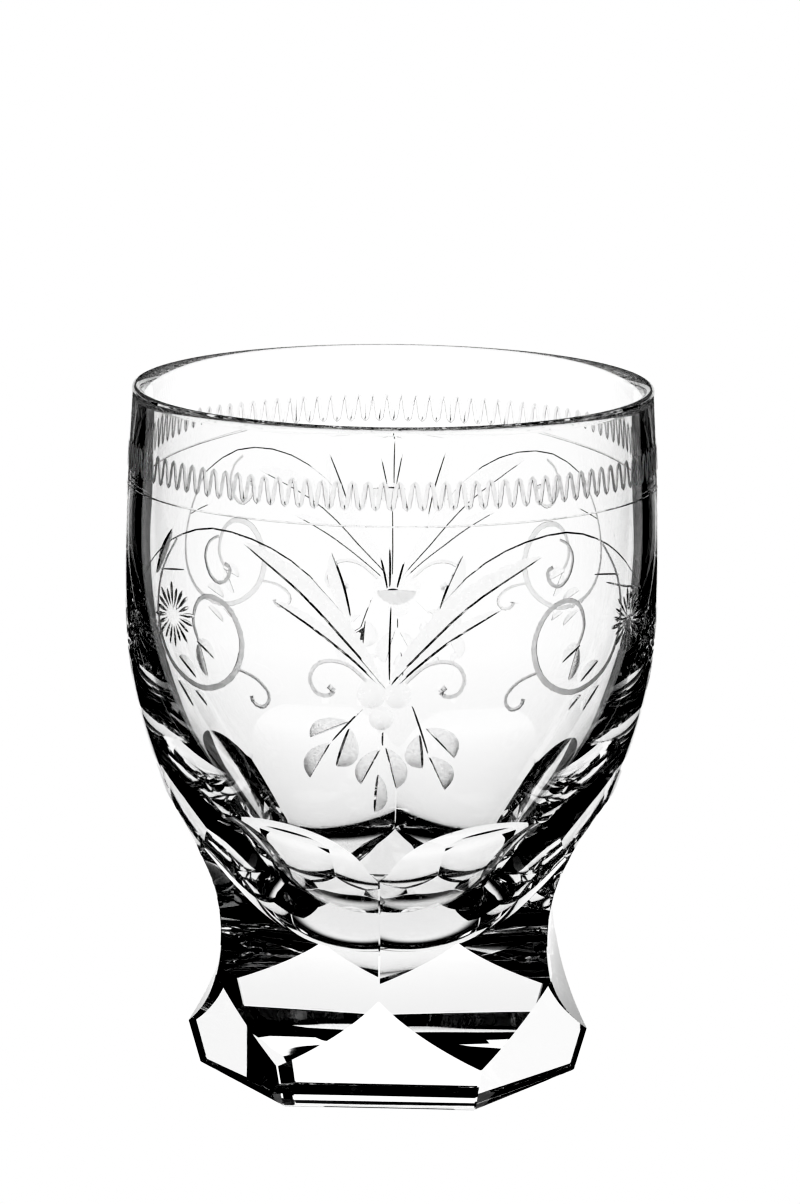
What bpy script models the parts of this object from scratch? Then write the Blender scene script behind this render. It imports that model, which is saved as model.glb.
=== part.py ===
"""A cut crystal whisky tumbler: a blown bowl fused onto a solid six-sided foot.

Units are metres and +Z is up. The origin is the centre of the flat rest face, and the tumbler's front
ridge points along -Y. Six flutes are cut through the waist, one for each corner of the foot.
"""

import math

import bpy

# Overall sizes
HEIGHT = 0.101
RIM_RADIUS = 0.0375

# Bowl, outside
RIM_WALL = 0.0018
BELLY_BULGE = 0.00093
BELLY_DROP = 0.026
HIP_RADIUS = 0.0304
HIP_HEIGHT = 0.036
HIP_SPREAD = 0.84
BELLY_ROUNDING = 0.016
HIP_ROUNDING = 0.018
RIM_ROUNDING = 0.009
RIM_LEAN = 0.055

# Bowl, inside
SHOULDER_WALL = 0.00226
SHOULDER_DROP = 0.0225
SHOULDER_ROUNDING = 0.0176
KNEE_WALL = 0.0080
KNEE_HEIGHT = 0.039
KNEE_SHARE = 0.21
KNEE_SPREAD = 0.70
KNEE_ROUNDING = 0.0132
WAIST_WALL = 0.0049
FLOOR_WALL = 0.0097
FLOOR_CORNER = 0.0105
FLOOR_THICKNESS = 0.0015

# Flutes, cut by the rim of a wheel that lies across the waist
FLUTE_COUNT = 6
FLUTE_RADIUS = 0.0267
WAIST_APOTHEM = 0.02348
WAIST_HEIGHT = 0.0228

# Foot
FOOT_HEIGHT = 0.0185
FOOT_APOTHEM = 0.02366
FOOT_LEAN = 0.248
FOOT_EDGE = 0.0005

# Smoothness of the solids
TURN_STEPS = 72
WALL_POINTS = 8
RIM_POINTS = 6
FLUTE_STEPS = 96
FOOT_EDGE_STEPS = 2
MERGE_DISTANCE = 0.00001

# Colour of the polished glass
CRYSTAL_COLOUR = (0.94, 0.96, 0.96, 1.0)
CRYSTAL_ROUGHNESS = 0.02
CRYSTAL_IOR = 1.52

# Places that follow from the sizes above
BELLY_RADIUS = RIM_RADIUS + BELLY_BULGE
BELLY_HEIGHT = HEIGHT - BELLY_DROP
CAVITY_RADIUS = RIM_RADIUS - RIM_WALL
CAVITY_FLOOR = FOOT_HEIGHT + FLOOR_THICKNESS
FLUTE_DISTANCE = WAIST_APOTHEM + FLUTE_RADIUS
FLUTE_ANGLE = 2.0 * math.pi / FLUTE_COUNT
WHEEL_WIDTH = 4.0 * RIM_RADIUS
CORNER_FACTOR = 1.0 / math.cos(FLUTE_ANGLE / 2.0)


def clear_scene():
    for thing in list(bpy.data.objects):
        bpy.data.objects.remove(thing, do_unlink=True)


def new_collection(name):
    collection = bpy.data.collections.new(name)
    bpy.context.scene.collection.children.link(collection)
    return collection


def move_to(thing, collection):
    for owner in list(thing.users_collection):
        owner.objects.unlink(thing)
    collection.objects.link(thing)


def polished_glass(name):
    material = bpy.data.materials.new(name)
    material.use_nodes = True
    shader = material.node_tree.nodes["Principled BSDF"]
    shader.inputs["Base Color"].default_value = CRYSTAL_COLOUR
    shader.inputs["Metallic"].default_value = 0.0
    shader.inputs["Roughness"].default_value = CRYSTAL_ROUGHNESS
    shader.inputs["IOR"].default_value = CRYSTAL_IOR
    shader.inputs["Transmission Weight"].default_value = 1.0
    return material


def blend(start, end, share):
    return (
        start[0] + (end[0] - start[0]) * share,
        start[1] + (end[1] - start[1]) * share,
    )


def sweep(start, start_pull, end_pull, end, steps):
    """Points along a smooth curve that leaves start towards start_pull and reaches end from end_pull."""
    points = []
    for step in range(steps + 1):
        share = step / steps
        first = blend(start, start_pull, share)
        middle = blend(start_pull, end_pull, share)
        last = blend(end_pull, end, share)
        points.append(blend(blend(first, middle, share), blend(middle, last, share), share))
    return points


def cavity_wall():
    """The inside of the bowl, from the middle of the floor up to the rim."""
    outer_knee_radius = HIP_RADIUS + KNEE_SHARE * (BELLY_RADIUS - HIP_RADIUS)
    knee_radius = outer_knee_radius - KNEE_WALL
    shoulder_radius = BELLY_RADIUS - SHOULDER_WALL
    knee_pull = knee_radius + KNEE_SPREAD * (shoulder_radius - knee_radius)
    shoulder_height = HEIGHT - SHOULDER_DROP
    floor_to_knee = sweep(
        (0.0, CAVITY_FLOOR),
        (WAIST_APOTHEM - FLOOR_WALL, CAVITY_FLOOR),
        (WAIST_APOTHEM - WAIST_WALL, CAVITY_FLOOR + FLOOR_CORNER),
        (knee_radius, KNEE_HEIGHT),
        WALL_POINTS,
    )
    knee_to_shoulder = sweep(
        (knee_radius, KNEE_HEIGHT),
        (knee_pull, KNEE_HEIGHT + KNEE_ROUNDING),
        (shoulder_radius, shoulder_height - SHOULDER_ROUNDING),
        (shoulder_radius, shoulder_height),
        WALL_POINTS,
    )
    return floor_to_knee + knee_to_shoulder[1:]


def rim():
    """The fire-polished lip: half a circle from the inside of the wall to the outside."""
    lip_radius = RIM_WALL / 2.0
    points = []
    for step in range(RIM_POINTS + 1):
        angle = math.pi * (1.0 - step / RIM_POINTS)
        across = CAVITY_RADIUS + lip_radius + lip_radius * math.cos(angle)
        up = HEIGHT - lip_radius + lip_radius * math.sin(angle)
        points.append((across, up))
    return points


def outer_wall():
    """The outside of the bowl, from the lip over the belly and down to the hip."""
    lip_height = HEIGHT - RIM_WALL / 2.0
    hip_pull = HIP_RADIUS + HIP_SPREAD * (BELLY_RADIUS - HIP_RADIUS)
    lip_to_belly = sweep(
        (RIM_RADIUS, lip_height),
        (RIM_RADIUS + RIM_LEAN * RIM_ROUNDING, lip_height - RIM_ROUNDING),
        (BELLY_RADIUS, BELLY_HEIGHT + RIM_ROUNDING),
        (BELLY_RADIUS, BELLY_HEIGHT),
        WALL_POINTS,
    )
    belly_to_hip = sweep(
        (BELLY_RADIUS, BELLY_HEIGHT),
        (BELLY_RADIUS, BELLY_HEIGHT - BELLY_ROUNDING),
        (hip_pull, HIP_HEIGHT + HIP_ROUNDING),
        (HIP_RADIUS, HIP_HEIGHT),
        WALL_POINTS,
    )
    return lip_to_belly[1:] + belly_to_hip[1:]


def turned(name, profile, collection):
    """A solid of revolution about Z from a profile of (radius, height) points."""
    vertices = [(radius, 0.0, height) for radius, height in profile]
    edges = [(index, index + 1) for index in range(len(profile) - 1)]
    mesh = bpy.data.meshes.new(name)
    mesh.from_pydata(vertices, edges, [])
    solid = bpy.data.objects.new(name, mesh)
    collection.objects.link(solid)
    screw = solid.modifiers.new("Turn", "SCREW")
    screw.axis = "Z"
    screw.steps = TURN_STEPS
    screw.render_steps = TURN_STEPS
    screw.use_smooth_shade = True
    screw.use_merge_vertices = True
    screw.merge_threshold = MERGE_DISTANCE
    return solid


def flute_wheels(collection):
    """One wheel for each flute, standing outside the waist with its axle across the glass."""
    wheels = []
    for index in range(FLUTE_COUNT):
        angle = FLUTE_ANGLE * index
        bpy.ops.mesh.primitive_cylinder_add(
            vertices=FLUTE_STEPS,
            radius=FLUTE_RADIUS,
            depth=WHEEL_WIDTH,
            location=(
                FLUTE_DISTANCE * math.cos(angle),
                FLUTE_DISTANCE * math.sin(angle),
                WAIST_HEIGHT,
            ),
            rotation=(math.pi / 2.0, 0.0, angle),
        )
        wheel = bpy.context.object
        wheel.name = f"flute_wheel_{index + 1}"
        wheel.hide_render = True
        wheel.display_type = "WIRE"
        wheel.data.shade_smooth()
        move_to(wheel, collection)
        wheels.append(wheel)
    return wheels


def cut(solid, cutters):
    for cutter in cutters:
        boolean = solid.modifiers.new(f"Cut {cutter.name}", "BOOLEAN")
        boolean.operation = "DIFFERENCE"
        boolean.object = cutter


def make_bowl(collection, wheels):
    """The blown bowl: a turned wall on a round blank, fluted where it narrows to the waist."""
    lower_blank = [(HIP_RADIUS, FOOT_HEIGHT), (0.0, FOOT_HEIGHT)]
    bowl = turned("bowl", cavity_wall() + rim() + outer_wall() + lower_blank, collection)
    cut(bowl, wheels)
    bowl.data.materials.append(polished_glass("bowl_crystal"))
    return bowl


def make_foot(collection, wheels):
    """The solid foot: a block that widens upwards, with one corner on +X, fluted across its corners."""
    top_apothem = FOOT_APOTHEM + FOOT_LEAN * FOOT_HEIGHT
    bpy.ops.mesh.primitive_cone_add(
        vertices=FLUTE_COUNT,
        radius1=FOOT_APOTHEM * CORNER_FACTOR,
        radius2=top_apothem * CORNER_FACTOR,
        depth=FOOT_HEIGHT,
        location=(0.0, 0.0, FOOT_HEIGHT / 2.0),
        rotation=(0.0, 0.0, -math.pi / 2.0),
    )
    foot = bpy.context.object
    foot.name = "foot"
    move_to(foot, collection)
    foot.data.name = "foot"
    soften_bottom_edge(foot)
    cut(foot, wheels)
    foot.data.materials.append(polished_glass("foot_crystal"))
    return foot


def soften_bottom_edge(foot):
    """Rounds the edge between the leaning faces and the rest face."""
    mesh = foot.data
    weights = mesh.attributes.new("bevel_weight_edge", "FLOAT", "EDGE")
    for edge in mesh.edges:
        low = all(mesh.vertices[corner].co.z < 0.0 for corner in edge.vertices)
        weights.data[edge.index].value = 1.0 if low else 0.0
    bevel = foot.modifiers.new("Bottom edge", "BEVEL")
    bevel.limit_method = "WEIGHT"
    bevel.width = FOOT_EDGE
    bevel.segments = FOOT_EDGE_STEPS


def main():
    clear_scene()
    parts = new_collection("whisky_tumbler")
    cutters = new_collection("cutters")
    wheels = flute_wheels(cutters)
    make_bowl(parts, wheels)
    make_foot(parts, wheels)


main()
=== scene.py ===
# %% [markdown]
# # A cut and engraved whisky tumbler
# The glass is one clear body made from two gathers: a blown bowl and a solid foot, fused at the waist.
# What the eye reads as "crystal" comes from the exact shape of the surfaces, from the light that bends
# through them and from what stands around the glass. The lesson takes them in that order.

# %% Load the frame
import math

import bpy
from mathutils import Matrix, Vector
from mathutils.geometry import interpolate_bezier
from mathutils.kdtree import KDTree


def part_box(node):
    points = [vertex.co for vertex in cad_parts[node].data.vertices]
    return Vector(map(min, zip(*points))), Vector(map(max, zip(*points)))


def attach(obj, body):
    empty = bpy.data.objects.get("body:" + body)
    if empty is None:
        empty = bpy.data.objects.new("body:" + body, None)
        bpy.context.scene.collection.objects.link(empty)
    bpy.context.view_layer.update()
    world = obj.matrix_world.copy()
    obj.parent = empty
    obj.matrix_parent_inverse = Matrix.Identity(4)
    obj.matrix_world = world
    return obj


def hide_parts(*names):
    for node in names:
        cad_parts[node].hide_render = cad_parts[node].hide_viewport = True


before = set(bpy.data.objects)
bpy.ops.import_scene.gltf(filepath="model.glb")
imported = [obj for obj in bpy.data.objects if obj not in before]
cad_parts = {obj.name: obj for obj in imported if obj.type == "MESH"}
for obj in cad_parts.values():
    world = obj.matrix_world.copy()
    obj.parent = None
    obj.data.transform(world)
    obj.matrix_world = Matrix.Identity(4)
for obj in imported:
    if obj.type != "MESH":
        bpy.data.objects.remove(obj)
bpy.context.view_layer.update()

# %% [markdown]
# ## Sizes
# The frame gives the overall height, the widest radius and the seam between bowl and foot.
# The shapes between those places, such as the wall, the belly and the hip, repeat the sizes of the
# construction, in metres.

# %% Sizes of the glass
MM = 0.001
bowl_low, bowl_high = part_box("bowl")
HEIGHT = bowl_high[2]
SEAM_HEIGHT = bowl_low[2]
BELLY_RADIUS = bowl_high[0]
BELLY_HEIGHT = HEIGHT - 26.0 * MM
RIM_RADIUS = BELLY_RADIUS - 0.93 * MM
RIM_WALL = 1.8 * MM
CAVITY_RADIUS = RIM_RADIUS - RIM_WALL
CAVITY_FLOOR = SEAM_HEIGHT + 1.5 * MM
KNEE_RADIUS = 24.07 * MM
KNEE_HEIGHT = 39.03 * MM
SHOULDER_RADIUS = BELLY_RADIUS - 2.26 * MM
SHOULDER_HEIGHT = HEIGHT - 22.5 * MM
HIP_RADIUS = 30.4 * MM
HIP_HEIGHT = 36.0 * MM
print("height", round(HEIGHT, 4), "seam", round(SEAM_HEIGHT, 4), "belly radius", round(BELLY_RADIUS, 4))

# %% [markdown]
# ## The blank of the bowl
# A glassblower turns the bowl, so its wall is a profile spun about the axis. It could be a stack of
# loop cuts on a cylinder, but a Bezier curve says the same with ten points: floor, knee, shoulder, lip,
# belly, hip and bottom. The lip is lopsided: it falls gently inwards and turns over quickly outwards.

# %% The half profile of the bowl
ARC = 0.5523
LIP_OUTER = 0.55 * MM
LIP_INNER = RIM_WALL - LIP_OUTER
LIP_DROP = 1.8 * MM
RIM_FLARE = 0.5 * MM
FLOOR_PULL = 13.75 * MM
KNEE_PULL_DOWN = (18.57 * MM, 30.46 * MM)
KNEE_PULL_UP = (32.55 * MM, 52.23 * MM)
SHOULDER_PULL_DOWN = 17.64 * MM
WALL_PULL = 6.0 * MM
BELLY_PULL_UP = 9.0 * MM
BELLY_PULL_DOWN = 16.0 * MM
HIP_PULL_UP = (37.15 * MM, HIP_HEIGHT + 18.0 * MM)
HIP_PULL_DOWN = 6.0 * MM

lip_top = RIM_RADIUS - LIP_OUTER
inner_lip = HEIGHT - LIP_DROP
outer_lip = HEIGHT - LIP_OUTER

# Each point is (place, pull before it, pull after it), as (radius, height)
bowl_profile = [
    ((0.0, CAVITY_FLOOR), (0.0, CAVITY_FLOOR), (FLOOR_PULL, CAVITY_FLOOR)),
    ((KNEE_RADIUS, KNEE_HEIGHT), KNEE_PULL_DOWN, KNEE_PULL_UP),
    (
        (SHOULDER_RADIUS, SHOULDER_HEIGHT),
        (SHOULDER_RADIUS, SHOULDER_HEIGHT - SHOULDER_PULL_DOWN),
        (SHOULDER_RADIUS, SHOULDER_HEIGHT + WALL_PULL),
    ),
    (
        (CAVITY_RADIUS, inner_lip),
        (CAVITY_RADIUS, inner_lip - WALL_PULL),
        (CAVITY_RADIUS, inner_lip + LIP_DROP * ARC),
    ),
    ((lip_top, HEIGHT), (lip_top - LIP_INNER * ARC, HEIGHT), (lip_top + LIP_OUTER * ARC, HEIGHT)),
    (
        (RIM_RADIUS, outer_lip),
        (RIM_RADIUS, outer_lip + LIP_OUTER * ARC),
        (RIM_RADIUS + RIM_FLARE, outer_lip - BELLY_PULL_UP),
    ),
    (
        (BELLY_RADIUS, BELLY_HEIGHT),
        (BELLY_RADIUS, BELLY_HEIGHT + BELLY_PULL_UP),
        (BELLY_RADIUS, BELLY_HEIGHT - BELLY_PULL_DOWN),
    ),
    ((HIP_RADIUS, HIP_HEIGHT), HIP_PULL_UP, (HIP_RADIUS, HIP_HEIGHT - HIP_PULL_DOWN)),
    (
        (HIP_RADIUS, SEAM_HEIGHT),
        (HIP_RADIUS, SEAM_HEIGHT + HIP_PULL_DOWN),
        (HIP_RADIUS / 2.0, SEAM_HEIGHT),
    ),
    ((0.0, SEAM_HEIGHT), (HIP_RADIUS / 2.0, SEAM_HEIGHT), (0.0, SEAM_HEIGHT)),
]
print("bowl profile:", len(bowl_profile), "points")

# %% Draw the profile as a curve
PROFILE_STEPS = 24


def draw_profile(name, points):
    """Draws a profile in the XZ plane as one open Bezier curve and makes it a mesh of edges."""
    bpy.ops.curve.primitive_bezier_curve_add(location=(0.0, 0.0, 0.0))
    drawn = bpy.context.object
    drawn.name = name
    spline = drawn.data.splines[0]
    spline.bezier_points.add(len(points) - len(spline.bezier_points))
    spline.resolution_u = PROFILE_STEPS
    for knot, (place, before, after) in zip(spline.bezier_points, points):
        knot.handle_left_type = "FREE"
        knot.handle_right_type = "FREE"
        knot.co = (place[0], 0.0, place[1])
        knot.handle_left = (before[0], 0.0, before[1])
        knot.handle_right = (after[0], 0.0, after[1])
    bpy.ops.object.convert(target="MESH")
    return bpy.context.object


bowl = draw_profile("engraved_bowl", bowl_profile)
print("profile mesh:", len(bowl.data.vertices), "points")

# %% Spin the profile
SPIN_STEPS = 240
STRAIGHT_ENOUGH = math.radians(0.2)
SAME_POINT = 0.001 * MM


def select_only(thing):
    """Leaves one object selected and active, in object mode."""
    if bpy.context.object and bpy.context.object.mode != "OBJECT":
        bpy.ops.object.mode_set(mode="OBJECT")
    bpy.ops.object.select_all(action="DESELECT")
    thing.select_set(True)
    bpy.context.view_layer.objects.active = thing


def close_mesh(thing):
    """Merges doubled points and turns every face outwards."""
    select_only(thing)
    bpy.ops.object.mode_set(mode="EDIT")
    bpy.ops.mesh.select_all(action="SELECT")
    bpy.ops.mesh.remove_doubles(threshold=SAME_POINT)
    bpy.ops.mesh.normals_make_consistent(inside=False)
    bpy.ops.object.mode_set(mode="OBJECT")


def spin_round(thing):
    """Spins a half profile once about Z into a closed body."""
    select_only(thing)
    bpy.ops.object.mode_set(mode="EDIT")
    bpy.ops.mesh.select_all(action="SELECT")
    bpy.ops.mesh.dissolve_limited(angle_limit=STRAIGHT_ENOUGH)
    bpy.ops.mesh.select_all(action="SELECT")
    bpy.ops.mesh.spin(steps=SPIN_STEPS, angle=2.0 * math.pi, center=(0.0, 0.0, 0.0), axis=(0.0, 0.0, 1.0))
    bpy.ops.object.mode_set(mode="OBJECT")
    close_mesh(thing)


spin_round(bowl)
print("bowl blank:", len(bowl.data.vertices), "points,", len(bowl.data.polygons), "faces")

# %% [markdown]
# ## The foot
# The foot starts as a six-sided block that widens upwards. It could be drawn and extruded, but a cone
# with six sides is exactly that. Polishing leaves its corners and bottom edge a little softened.

# %% The foot's block
FOOT_SIDES = 6
FOOT_APOTHEM = 23.66 * MM
FOOT_LEAN = 0.248
CORNER = 1.0 / math.cos(math.pi / FOOT_SIDES)


def apply_place(thing):
    """Moves an object's place, turn and scale into its mesh."""
    select_only(thing)
    bpy.ops.object.transform_apply(location=True, rotation=True, scale=True)


bpy.ops.mesh.primitive_cone_add(
    vertices=FOOT_SIDES,
    radius1=FOOT_APOTHEM * CORNER,
    radius2=(FOOT_APOTHEM + FOOT_LEAN * SEAM_HEIGHT) * CORNER,
    depth=SEAM_HEIGHT,
    location=(0.0, 0.0, SEAM_HEIGHT / 2.0),
    rotation=(0.0, 0.0, -math.pi / 2.0),
)
foot = bpy.context.object
foot.name = "cut_foot"
apply_place(foot)
print("foot block:", len(foot.data.polygons), "faces")

# %% Soften the foot's edges
FOOT_CORNER_EDGE = 0.18 * MM
FOOT_BOTTOM_EDGE = 0.5 * MM
BOTTOM_EDGE_STEPS = 4


def edges_where(thing, test):
    """Selects, in edit mode, the edges whose two ends both pass a test."""
    select_only(thing)
    bpy.ops.object.mode_set(mode="EDIT")
    bpy.ops.mesh.select_mode(type="EDGE")
    bpy.ops.mesh.select_all(action="DESELECT")
    bpy.ops.object.mode_set(mode="OBJECT")
    for edge in thing.data.edges:
        first, second = (thing.data.vertices[index].co for index in edge.vertices)
        edge.select = test(first, second)
    bpy.ops.object.mode_set(mode="EDIT")


edges_where(foot, lambda first, second: first.z < MM and second.z < MM)
bpy.ops.mesh.bevel(offset=FOOT_BOTTOM_EDGE, segments=BOTTOM_EDGE_STEPS, profile=0.5, affect="EDGES")
bpy.ops.object.mode_set(mode="OBJECT")
edges_where(foot, lambda first, second: abs(first.z - second.z) > SEAM_HEIGHT / 2.0)
bpy.ops.mesh.bevel(offset=FOOT_CORNER_EDGE, segments=1, affect="EDGES")
bpy.ops.object.mode_set(mode="OBJECT")
print("softened foot:", len(foot.data.polygons), "faces")

# %% [markdown]
# ## Six flutes
# A cutter holds the waist against the rim of a wheel, so each flute is flat from side to side and
# hollow from top to bottom. The same wheel is used here: a wide cylinder lying across the waist.
# Where two flutes meet they leave a ridge. Polishing takes the sharpness off it, and that narrow
# facet is the bright line down the front of the glass. A wheel that follows the ridge makes it.

# %% Cut the flutes and their ridges
FLUTE_RADIUS = 26.7 * MM
WAIST_APOTHEM = 23.48 * MM
WAIST_HEIGHT = 22.8 * MM
RIDGE_FLAT = 0.07 * MM
RIDGE_REACH = WAIST_APOTHEM * CORNER - RIDGE_FLAT
FLUTE_STEPS = 300
FLUTE_ANGLE = 2.0 * math.pi / FOOT_SIDES


def cut_away(thing, cutter):
    """Subtracts one closed mesh from another and throws the cutter away."""
    select_only(thing)
    boolean = thing.modifiers.new("Cut", "BOOLEAN")
    boolean.operation = "DIFFERENCE"
    boolean.solver = "MANIFOLD"
    boolean.material_mode = "TRANSFER"
    boolean.object = cutter
    bpy.ops.object.modifier_apply(modifier=boolean.name)
    bpy.data.objects.remove(cutter, do_unlink=True)


def flute_wheel(angle, reach, stretch):
    """A wide wheel lying across the waist, its rim at a given reach from the axis."""
    bpy.ops.mesh.primitive_cylinder_add(vertices=FLUTE_STEPS, radius=FLUTE_RADIUS, depth=4.0 * RIM_RADIUS)
    wheel = bpy.context.object
    bpy.ops.transform.rotate(value=math.pi / 2.0, orient_axis="X", center_override=(0.0, 0.0, 0.0))
    apply_place(wheel)
    distance = reach + FLUTE_RADIUS * stretch
    for point in wheel.data.vertices:
        point.co.x *= stretch
    wheel.location = (distance * math.cos(angle), distance * math.sin(angle), WAIST_HEIGHT)
    wheel.rotation_euler = (0.0, 0.0, angle)
    apply_place(wheel)
    return wheel


# Each wheel is its angle, its reach and its stretch
wheels = [(FLUTE_ANGLE * index, WAIST_APOTHEM, 1.0) for index in range(FOOT_SIDES)]
wheels += [(FLUTE_ANGLE * (index + 0.5), RIDGE_REACH, CORNER) for index in range(FOOT_SIDES)]
for wheel in wheels:
    cut_away(bowl, flute_wheel(*wheel))
    cut_away(foot, flute_wheel(*wheel))
print("fluted faces:", len(bowl.data.polygons), "and", len(foot.data.polygons))

# %% [markdown]
# ## Crystal and its finishes
# All of the glass is one clear material with one refractive index, and what changes is the finish.
# Polished glass has only a faint waviness. The underside is ground flat and is wavier. A stone wheel
# leaves a frosted grain, a finer wheel leaves satin, and a polishing wheel leaves fine lines. They
# share one node group: a grain whose scale and stretch are set, given out as roughness and as height.
# An image could hold the grain too, but one made by nodes stays sharp at any distance.

# %% The shared grain
GRAIN_LOW = 0.3
GRAIN_HIGH = 0.7
GRAIN_DETAIL = 0.5


def set_inputs(node, values):
    """Sets the inputs of a node by their names."""
    for name, value in values.items():
        node.inputs[name].default_value = value


def add_sum(nodes, operation):
    """A node that works out one sum of two values."""
    worked = nodes.new("ShaderNodeMath")
    worked.operation = operation
    return worked


def wire(tree, wires):
    """Joins nodes: each wire is a giver, its output, a taker and its input."""
    for giver, given, taker, taken in wires:
        tree.links.new(giver.outputs[given], taker.inputs[taken])


def make_grain():
    """A node group that turns one noise into a roughness and a height."""
    group = bpy.data.node_groups.new("surface_grain", "ShaderNodeTree")
    for name in ("Scale", "Stretch", "Roughness", "Spread"):
        group.interface.new_socket(name=name, in_out="INPUT", socket_type="NodeSocketFloat")
    for name in ("Roughness", "Height"):
        group.interface.new_socket(name=name, in_out="OUTPUT", socket_type="NodeSocketFloat")
    nodes = group.nodes
    given = nodes.new("NodeGroupInput")
    result = nodes.new("NodeGroupOutput")
    place = nodes.new("ShaderNodeTexCoord")
    widths = nodes.new("ShaderNodeCombineXYZ")
    set_inputs(widths, {"X": 1.0, "Z": 1.0})
    stretched = nodes.new("ShaderNodeVectorMath")
    stretched.operation = "MULTIPLY"
    noise = nodes.new("ShaderNodeTexNoise")
    set_inputs(noise, {"Detail": GRAIN_DETAIL})
    lowest = add_sum(nodes, "SUBTRACT")
    highest = add_sum(nodes, "ADD")
    spread = nodes.new("ShaderNodeMapRange")
    set_inputs(spread, {"From Min": GRAIN_LOW, "From Max": GRAIN_HIGH})
    wire(group, [
        (given, "Stretch", widths, "Y"), (place, "Object", stretched, 0), (widths, 0, stretched, 1),
        (stretched, 0, noise, "Vector"), (given, "Scale", noise, "Scale"),
        (given, "Roughness", lowest, 0), (given, "Spread", lowest, 1), (lowest, 0, spread, "To Min"),
        (given, "Roughness", highest, 0), (given, "Spread", highest, 1), (highest, 0, spread, "To Max"),
        (noise, 0, spread, "Value"), (spread, 0, result, "Roughness"), (noise, 0, result, "Height"),
    ])
    return group


grain = make_grain()
print("grain group:", len(grain.nodes), "nodes")

# %% The finishes
WHITE = (1.0, 1.0, 1.0, 1.0)
CRYSTAL_INDEX = 1.54
MICRON = 1.0e-6


def crystal_finish(name, roughness, spread, scale, height, stretch=1.0):
    """Clear crystal with a grain: roughness and its spread, grains per metre and height in microns."""
    material = bpy.data.materials.new(name)
    material.use_nodes = True
    nodes = material.node_tree.nodes
    shader = nodes["Principled BSDF"]
    clear = {"Base Color": WHITE, "IOR": CRYSTAL_INDEX, "Metallic": 0.0, "Transmission Weight": 1.0}
    set_inputs(shader, clear)
    texture = nodes.new("ShaderNodeGroup")
    texture.node_tree = grain
    set_inputs(texture, {"Scale": scale, "Stretch": stretch, "Roughness": roughness, "Spread": spread})
    bump = nodes.new("ShaderNodeBump")
    set_inputs(bump, {"Strength": 1.0, "Distance": height * MICRON})
    wire(material.node_tree, [
        (texture, "Roughness", shader, "Roughness"), (texture, "Height", bump, "Height"),
        (bump, "Normal", shader, "Normal"),
    ])
    return material


crystal = crystal_finish("polished_crystal", 0.004, 0.004, 60.0, 3.0)
underside = crystal_finish("ground_underside", 0.01, 0.01, 22.0, 65.0, 5.0)
frosted = crystal_finish("stone_frosted", 0.64, 0.15, 4500.0, 18.0)
soft_ground = crystal_finish("soft_stone", 0.48, 0.2, 4500.0, 18.0)
satin = crystal_finish("wheel_satin", 0.34, 0.08, 2500.0, 6.0)
cut_polish = crystal_finish("wheel_polished", 0.03, 0.02, 3000.0, 2.0)
print("finishes from", crystal.name, "to", cut_polish.name)

# %% Polish the blank, and hide the seam
LEVEL = 0.999
TOUCHING = 0.01 * MM

# The two gathers melt into one, so nothing is seen where they meet
fused_seam = bpy.data.materials.new("fused_seam")
fused_seam.use_nodes = True
set_inputs(fused_seam.node_tree.nodes["Principled BSDF"], {"Alpha": 0.0})

for piece in (bowl, foot):
    mesh = piece.data
    mesh.materials.clear()
    mesh.materials.append(crystal)
    mesh.materials.append(fused_seam)
    level_faces = [face for face in mesh.polygons if abs(face.normal.z) > LEVEL]
    seam_faces = [face for face in level_faces if abs(face.center.z - SEAM_HEIGHT) < TOUCHING]
    rest_faces = [face for face in level_faces if face.center.z < TOUCHING]
    if rest_faces:
        mesh.materials.append(underside)
    for face in mesh.polygons:
        face.material_index = 0
    for face in seam_faces:
        face.material_index = 1
    for face in rest_faces:
        face.material_index = 2
    print(piece.name, "seam faces", len(seam_faces), "underside faces", len(rest_faces))

# %% [markdown]
# ## Engraving: a drawing wrapped round the bowl
# The engraver draws the ornament flat: across is the way round the bowl and up is the height, both from
# the root where the stems meet. One helper wraps a flat point onto the skin of the bowl, lifted or sunk
# along the true normal. Another lets a line flow smoothly through a few chosen points.

# %% Wrap a flat drawing onto the skin
MOTIF_TURN = math.radians(1.9)
ROOT_HEIGHT = 64.2 * MM
SKIN_SAMPLES = 80
RIM_POINT = 5
HIP_POINT = 7


def sample_profile(points, first, last, steps):
    """Fine points along a profile, as (radius, height)."""
    path = []
    for start, end in zip(points[first:last], points[first + 1:last + 1]):
        pulls = (Vector(start[0]), Vector(start[2]), Vector(end[1]), Vector(end[0]))
        path += interpolate_bezier(*pulls, steps)[:-1]
    path.append(Vector(points[last][0]))
    return path


skin = sample_profile(bowl_profile, RIM_POINT, HIP_POINT, SKIN_SAMPLES)


def skin_at(height):
    """Radius and outward normal (radial, upward) of the outer skin at a height."""
    for upper, lower in zip(skin, skin[1:]):
        if height >= lower.y:
            break
    share = (upper.y - height) / (upper.y - lower.y)
    along = upper - lower
    normal = Vector((along.y, -along.x)).normalized()
    return upper.x + (lower.x - upper.x) * share, normal


def wrap(across, up, lift, turn):
    """The place in space of a point of the flat drawing, all in metres."""
    radius, normal = skin_at(ROOT_HEIGHT + up)
    angle = turn + across / BELLY_RADIUS
    reach = radius + lift * normal.x
    return Vector((reach * math.sin(angle), -reach * math.cos(angle), ROOT_HEIGHT + up + lift * normal.y))


print("root of the spray:", wrap(0.0, 0.0, 0.0, MOTIF_TURN))

# %% Let a line flow through a few points
FLOW_STEPS = 8


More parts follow.
